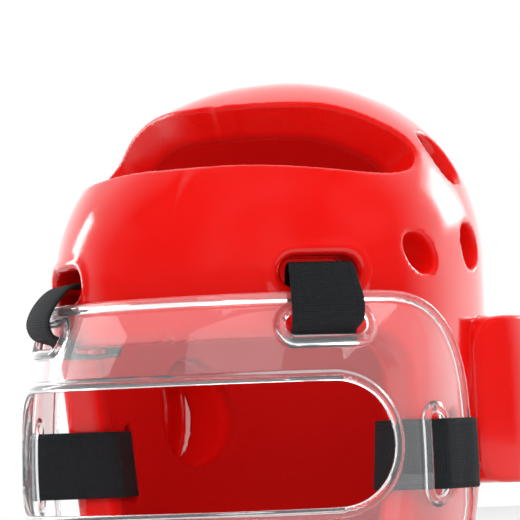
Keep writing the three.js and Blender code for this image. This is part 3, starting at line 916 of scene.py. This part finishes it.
def band(name, route_at, width, thick, closed, count):
    profile = band_profile(width, thick)
    sections, length = band_sections(route_at, profile, closed, count)
    rows, ring = sections.shape[:2]
    across = [place * MM for place, _ in profile + profile[::-1]]
    faces, uvs = [], []
    for i in range(rows if closed else rows - 1):
        u0, u1 = length * i / count * MM, length * (i + 1) / count * MM
        for j in range(ring):
            k, n = (j + 1) % ring, (i + 1) % rows
            faces.append((i * ring + j, i * ring + k, n * ring + k, n * ring + j))
            uvs += [(u0, across[j]), (u0, across[k]), (u1, across[k]), (u1, across[j])]
    if not closed:
        faces += [tuple(range(ring))[::-1], tuple((rows - 1) * ring + j for j in range(ring))]
        uvs += [(0, v) for v in across[::-1]] + [(length * MM, v) for v in across]
    mesh = bpy.data.meshes.new(name)
    points = (sections.reshape(-1, 3) + (0, AXIS_Y, 0)) * MM
    mesh.from_pydata(points.tolist(), [], faces)
    layer = mesh.uv_layers.new(name="webbing")
    layer.data.foreach_set("uv", np.array(uvs).ravel())
    bm = bmesh.new()
    bm.from_mesh(mesh)
    bmesh.ops.recalc_face_normals(bm, faces=bm.faces)
    bm.to_mesh(mesh)
    bm.free()
    mesh.shade_smooth()
    piece = bpy.data.objects.new(name, mesh)
    bpy.context.collection.objects.link(piece)
    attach(piece, "root")
    print(name, "length", round(length), "mm,", len(mesh.polygons), "faces")
    return piece


# %% Brow and cheek straps
straps = []
for name, side in (("left", 1), ("right", -1)):
    for place, route in (("brow", brow_route), ("cheek", cheek_route)):
        strap = band(f"{place}_webbing_{name}", lambda shift, r=route, s=side: r(s, shift),
                     STRAP["width"], STRAP["thick"], True, STRAP["rows"])
        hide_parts(f"{place}_strap_{name}")
        straps.append(strap)

# %% [markdown]
# The chin strap hangs slack inside the jaw flaps and lies along the table, as a loose strap does
# when the guard is set down.

# %% Chin strap
CHIN_ROWS = 110
SLACK = {"inward": 6, "lift": 1.5}


def chin_wall(z):
    return foam_radius(90, z, FOAM) - CHIN_STRAP["stand_off"]


def chin_route(shift):
    top, bend, floor_z = CHIN_STRAP["top"], CHIN_STRAP["bend"], CHIN_STRAP["floor"]
    inner = chin_wall(bend)
    half = [(chin_wall(top), top), (inner, bend), (inner - SLACK["inward"], bend / 2),
            (inner - bend, floor_z + SLACK["lift"]), (inner / 3, floor_z)]
    route = half + [(-x, z) for x, z in half[::-1]]
    return [(x, CHIN_STRAP["y"] + shift, z) for x, z in route]


chin = band("chin_webbing", chin_route, CHIN_STRAP["width"], CHIN_STRAP["thick"], False, CHIN_ROWS)
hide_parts("chin_strap")
straps.append(chin)

# %% [markdown]
# ## Materials
# Three finishes: the dipped skin, the clear sheet and the webbing. Each starts from one Principled
# shader. What varies over the surface comes from noise and weave nodes; what is the same everywhere
# is set on the shader's own socket.

# %% Helpers for materials
def plug(tree, value, socket):
    """Links a socket, or sets it if the value is a plain number or colour."""
    if isinstance(value, bpy.types.NodeSocket):
        tree.links.new(value, socket)
    else:
        socket.default_value = value


def new_material(name, **sockets):
    material = bpy.data.materials.new(name)
    material.use_nodes = True
    tree = material.node_tree
    shader = tree.nodes["Principled BSDF"]
    for socket, value in sockets.items():
        shader.inputs[socket.replace("_", " ")].default_value = value
    return material, tree, shader


def add_node(tree, kind, settings=None, **sockets):
    node = tree.nodes.new(kind)
    for key, value in (settings or {}).items():
        setattr(node, key, value)
    for socket, value in sockets.items():
        plug(tree, value, node.inputs[socket.replace("_", " ")])
    return node


def blend_colour(tree, share, first, second):
    node = add_node(tree, "ShaderNodeMix", {"data_type": "RGBA"})
    for socket, value in ((0, share), (6, first), (7, second)):
        plug(tree, value, node.inputs[socket])
    return node.outputs[2]


def combine(tree, operation, *values):
    node = add_node(tree, "ShaderNodeMath", {"operation": operation})
    for value, socket in zip(values, node.inputs):
        plug(tree, value, socket)
    return node.outputs[0]


def span(tree, value, low, high, to_low, to_high):
    return add_node(tree, "ShaderNodeMapRange", Value=value, From_Min=low, From_Max=high,
                    To_Min=to_low, To_Max=to_high).outputs["Result"]


def noise(tree, place, scale, detail=2.0):
    return add_node(tree, "ShaderNodeTexNoise", Vector=place, Scale=scale,
                    Detail=detail).outputs["Fac"]


def finish_with(material, *pieces):
    for piece in pieces:
        piece.data.materials.append(material)
    print(material.name, "on", len(pieces), "pieces,", len(material.node_tree.nodes), "nodes")


# %% [markdown]
# The dipped skin is vinyl paint, thick and wet-looking, over soft foam. The inside of the guard has
# a duller coat, and so have the walls of the vents and of the forehead opening, a little. Deep
# inside, the red is also painted darker, as shade. The mesh carries one number per corner that says
# how much of that coat, and of that painted shade, it has.

# %% How far inside each corner is
WALL_FADE = (-1.8, -0.3)
INSIDE_FADE = (-12, -0.6)
VENT_SHARE, CROWN_SHARE = 0.6, 0.35

vent_walls = [smooth_step(-vent, *WALL_FADE) for vent in side_vents(fold(shell_points))]
in_vent = np.max(vent_walls, axis=0)
in_crown = smooth_step(-crown_opening(shell_points), *WALL_FADE)
deep = smooth_step(-inner_skin(shell_points), *INSIDE_FADE)
inside_share = np.max([deep, VENT_SHARE * in_vent, CROWN_SHARE * in_crown], axis=0)
attribute = shell.data.attributes.new("inside", "FLOAT", "POINT")
attribute.data.foreach_set("value", np.ascontiguousarray(inside_share, dtype=np.float32))
print("%.0f%% of the shell's corners are inside" % (100 * (inside_share > VENT_SHARE).mean()))

# %% [markdown]
# The red is even, with a slightly deeper tone where the coat is thicker, and its gloss is broken
# only by a faint orange peel. Inside, the roughness is higher and there is little mirror-like
# light,
# and the red is darker: painted shade for the hollow of the guard.

# %% Dipped red skin
OUTER_REDS = (0.80, 0.006, 0.004, 1), (0.75, 0.005, 0.003, 1)
# Darker reds for deep inside the guard: painted shade for the hollow, where little light falls.
SHADED_INNER_REDS = (0.56, 0.006, 0.005, 1), (0.48, 0.005, 0.004, 1)
INSIDE_ROUGHNESS = 0.45

vinyl, tree, shader = new_material("dipped_red_vinyl", IOR=1.52)
place = add_node(tree, "ShaderNodeTexCoord").outputs["Object"]
inside = add_node(tree, "ShaderNodeAttribute", {"attribute_name": "inside"}).outputs["Fac"]
clouds = span(tree, noise(tree, place, 14, 3), 0.3, 0.7, 0, 1)
fine = noise(tree, place, 420, 2)
outer_red = blend_colour(tree, clouds, *OUTER_REDS)
shaded_inner_red = blend_colour(tree, fine, *SHADED_INNER_REDS)
# How much of the darker inside red, the painted shade, a corner gets, from how far inside it lies.
inner_shade_share = span(tree, inside, VENT_SHARE, 1, 0, 1)
plug(tree, blend_colour(tree, inner_shade_share, outer_red, shaded_inner_red), shader.inputs["Base Color"])
gloss = span(tree, noise(tree, place, 60, 2), 0.3, 0.7, 0.10, 0.17)
dull = combine(tree, "MULTIPLY_ADD", inside, INSIDE_ROUGHNESS, gloss)
plug(tree, dull, shader.inputs["Roughness"])
mirror = span(tree, inside, 0, VENT_SHARE, 0.5, 0.04)
plug(tree, mirror, shader.inputs["Specular IOR Level"])
peel = add_node(tree, "ShaderNodeBump", Height=fine, Strength=0.035, Distance=0.001)
plug(tree, peel.outputs["Normal"], shader.inputs["Normal"])
finish_with(vinyl, shell)

# %% [markdown]
# The mask is clear polycarbonate. Nearly all light goes straight through; the rest is the slight
# haze of a handled sheet, which turns the red and the black behind it a little paler. Fine scuffs
# roughen it here and there.

# %% Clear sheet
CLEAR_TINTS = (0.97, 0.985, 0.99, 1), (0.93, 0.955, 0.97, 1)

clear, tree, shader = new_material("clear_sheet", IOR=1.55, Transmission_Weight=0.96)
place = add_node(tree, "ShaderNodeTexCoord").outputs["Object"]
tint = blend_colour(tree, noise(tree, place, 18, 3), *CLEAR_TINTS)
plug(tree, tint, shader.inputs["Base Color"])
scuffs = span(tree, noise(tree, place, 90, 6), 0.55, 0.8, 0.02, 0.10)
plug(tree, scuffs, shader.inputs["Roughness"])
finish_with(clear, mask)

# %% [markdown]
# The webbing is black nylon in a plain weave: fine ribs across the band, crossed by warp threads
# along it. Both come from wave textures on the band's own coordinates, so they bend with it; they
# colour the yarn as well as raise it. A little fuzz makes it paler in places.

# %% Black webbing
YARNS = (0.006, 0.007, 0.008, 1), (0.022, 0.025, 0.029, 1)
FUZZ = (0.032, 0.035, 0.040, 1)


def threads(tree, place, direction, scale, distortion):
    return add_node(tree, "ShaderNodeTexWave", {"bands_direction": direction}, Vector=place,
                    Scale=scale, Distortion=distortion, Detail=1.0).outputs["Fac"]


webbing, tree, shader = new_material("black_webbing", Roughness=0.8, Specular_IOR_Level=0.25)
band_place = add_node(tree, "ShaderNodeUVMap", {"uv_map": "webbing"}).outputs["UV"]
solid_place = add_node(tree, "ShaderNodeTexCoord").outputs["Object"]
weft = threads(tree, band_place, "X", 270.0, 0.6)
warp = threads(tree, band_place, "Y", 330.0, 0.8)
cloth = combine(tree, "MULTIPLY", weft, warp)
fuzz = span(tree, noise(tree, solid_place, 900, 2), 0.4, 0.9, 0, 0.5)
yarn = blend_colour(tree, cloth, *YARNS)
plug(tree, blend_colour(tree, fuzz, yarn, FUZZ), shader.inputs["Base Color"])
raised = add_node(tree, "ShaderNodeBump", Height=cloth, Strength=0.5, Distance=0.0004)
plug(tree, raised.outputs["Normal"], shader.inputs["Normal"])
finish_with(webbing, *straps)

# %% [markdown]
# ## Floor
# A plain pale disc, a hair below the guard's foot, with a very faint cloudiness, so that it takes a
# soft shadow without drawing the eye.

# %% Floor
FLOOR = {"radius": 1.4, "corners": 96, "z": -0.0005}
FLOOR_WHITES = (0.97, 0.97, 0.97, 1), (0.94, 0.94, 0.945, 1)

turns_round = np.linspace(0, 360, FLOOR["corners"], endpoint=False)
edge = towards(turns_round, 0 * turns_round) * FLOOR["radius"]
floor_mesh = bpy.data.meshes.new("floor")
floor_mesh.from_pydata(edge.tolist(), [], [tuple(range(FLOOR["corners"]))])
floor = bpy.data.objects.new("floor", floor_mesh)
bpy.context.collection.objects.link(floor)
floor.location.z = FLOOR["z"]
pale, tree, shader = new_material("pale_floor", Roughness=0.55)
place = add_node(tree, "ShaderNodeTexCoord").outputs["Object"]
white = blend_colour(tree, noise(tree, place, 3, 2), *FLOOR_WHITES)
plug(tree, white, shader.inputs["Base Color"])
finish_with(pale, floor)

# %% [markdown]
# ## Light
# The guard is glossy, so what it mirrors matters more than what lights it. The room is white to the
# eye and through the mask, but the gloss sees another one: bright behind the guard, dark behind the
# camera, and dimmer higher up. That keeps the front a deep red and gives the sides pale edges.

# %% Room
ROOM = {"bright_side": (-0.42, 0.90, 0), "dark": 0.10, "bright": 1.9, "fill": 0.40, "seen": 1.0}
DIMMED = {"from": 0.2, "fully": 0.5, "share": 0.6}


def blend_value(tree, share, first, second):
    node = add_node(tree, "ShaderNodeMix", {"data_type": "FLOAT"})
    for socket, value in ((0, share), (2, first), (3, second)):
        plug(tree, value, node.inputs[socket])
    return node.outputs[0]


scene = bpy.context.scene
scene.view_settings.view_transform = "Standard"
world = bpy.data.worlds.new("white_surround")
scene.world = world
world.use_nodes = True
tree = world.node_tree
ray = add_node(tree, "ShaderNodeLightPath").outputs
direction = add_node(tree, "ShaderNodeTexCoord").outputs["Generated"]
facing = add_node(tree, "ShaderNodeVectorMath", {"operation": "DOT_PRODUCT"})
plug(tree, direction, facing.inputs[0])
plug(tree, ROOM["bright_side"], facing.inputs[1])
sides = span(tree, facing.outputs["Value"], 0.0, 0.5, ROOM["dark"], ROOM["bright"])
height = add_node(tree, "ShaderNodeSeparateXYZ", Vector=direction).outputs["Z"]
higher = span(tree, height, DIMMED["from"], DIMMED["fully"], 1.0, DIMMED["share"])
mirrored_room = combine(tree, "MULTIPLY", sides, higher)
lighting = blend_value(tree, ray["Is Glossy Ray"], ROOM["fill"], mirrored_room)
looked_at = combine(tree, "MAXIMUM", ray["Is Camera Ray"], ray["Is Transmission Ray"])
surround = tree.nodes["Background"]
plug(tree, blend_value(tree, looked_at, lighting, ROOM["seen"]), surround.inputs["Strength"])
surround.inputs["Color"].default_value = (1, 1, 1, 1)
print(world.name, len(tree.nodes), "nodes")

# %% [markdown]
# Soft boxes do two separate jobs here. Large ones at the front, the top and both sides fill in, and
# stay out of the gloss. Small ones show in the gloss alone, as the long pale streaks: one on the
# right, and three inside each other on the left, whose streak fades at its edges.

# %% Soft boxes
BOX_AIM = Vector((0, 0, 0.15))
# Columns: name, degrees round, degrees up, distance, width and height, watts, shows in the gloss
SOFT_BOXES = [
    ("front_fill", 15, 30, 2.6, (2.4, 2.0), 25, False),
    ("top_fill", 30, 75, 2.2, (1.6, 1.6), 15, False),
    ("left_fill", 95, 38, 2.2, (1.2, 1.2), 17, False),
    ("right_fill", -70, 25, 2.2, (1.2, 1.2), 14, False),
    ("right_streak", -97, 15, 1.6, (0.26, 0.85), 6, True),
    ("left_streak", 154, 19, 1.6, (0.26, 0.26), 1.2, True),
    ("left_glow", 155, 20, 1.62, (0.42, 0.38), 1.9, True),
    ("left_haze", 156, 21, 1.64, (0.62, 0.50), 1.9, True),
]
for name, turn, up, distance, size, watts, in_gloss in SOFT_BOXES:
    light = bpy.data.lights.new(name, "AREA")
    light.shape = "RECTANGLE"
    light.size, light.size_y = size
    light.energy = watts
    box = bpy.data.objects.new(name, light)
    bpy.context.collection.objects.link(box)
    box.location = BOX_AIM + Vector(towards(turn, up)) * distance
    box.rotation_euler = (BOX_AIM - box.location).to_track_quat("-Z", "Y").to_euler()
    box.visible_glossy = in_gloss
    box.visible_diffuse = not in_gloss
print(len(SOFT_BOXES), "soft boxes")

# %% [markdown]
# Little light finds its way into the hollow of the guard. A weak lamp in its middle, which nothing
# mirrors and no eye sees, keeps the inside a readable red.

# %% Lamp inside
INNER_GLOW = {"watts": 0.13, "radius": 0.04, "z": 0.15}

lamp = bpy.data.lights.new("inner_glow", "POINT")
lamp.energy, lamp.shadow_soft_size = INNER_GLOW["watts"], INNER_GLOW["radius"]
inner_glow = bpy.data.objects.new("inner_glow", lamp)
bpy.context.collection.objects.link(inner_glow)
inner_glow.location = (0, AXIS_Y * MM, INNER_GLOW["z"])
for seen_by in ("visible_camera", "visible_glossy", "visible_transmission"):
    setattr(inner_glow, seen_by, False)
print("inner lamp of", lamp.energy, "W")

# %% [markdown]
# ## Camera
# The camera stands to the left of the guard and a little below its middle, with a long lens, and is
# rolled by two degrees. The lens comes from the size of the picture: so many pixels of focal length
# to so many pixels of frame.

# %% Camera
VIEW = {
    "turn": 25, "up": -3.5, "roll": 2.2, "distance": 1.5, "focal_pixels": 2900,
    "frame_pixels": 520, "height": 0.180, "sideways": -0.0054, "upward": -0.0124,
}
SENSOR = 36

camera = bpy.data.objects.new("camera", bpy.data.cameras.new("camera"))
bpy.context.collection.objects.link(camera)
camera.data.sensor_width = SENSOR
camera.data.lens = SENSOR * VIEW["focal_pixels"] / VIEW["frame_pixels"]
back = Vector(towards(VIEW["turn"], VIEW["up"]))
sideways = Vector(towards(VIEW["turn"] + 90, 0))
upward = back.cross(sideways)
aim = Vector((0, AXIS_Y * MM, VIEW["height"]))
aim += sideways * VIEW["sideways"] + upward * VIEW["upward"]
camera.location = aim + back * VIEW["distance"]
camera.rotation_euler = (-back).to_track_quat("-Z", "Y").to_euler()
camera.rotation_euler.rotate_axis("Z", math.radians(-VIEW["roll"]))
scene.camera = camera
print("camera with a lens of %.0f mm" % camera.data.lens)
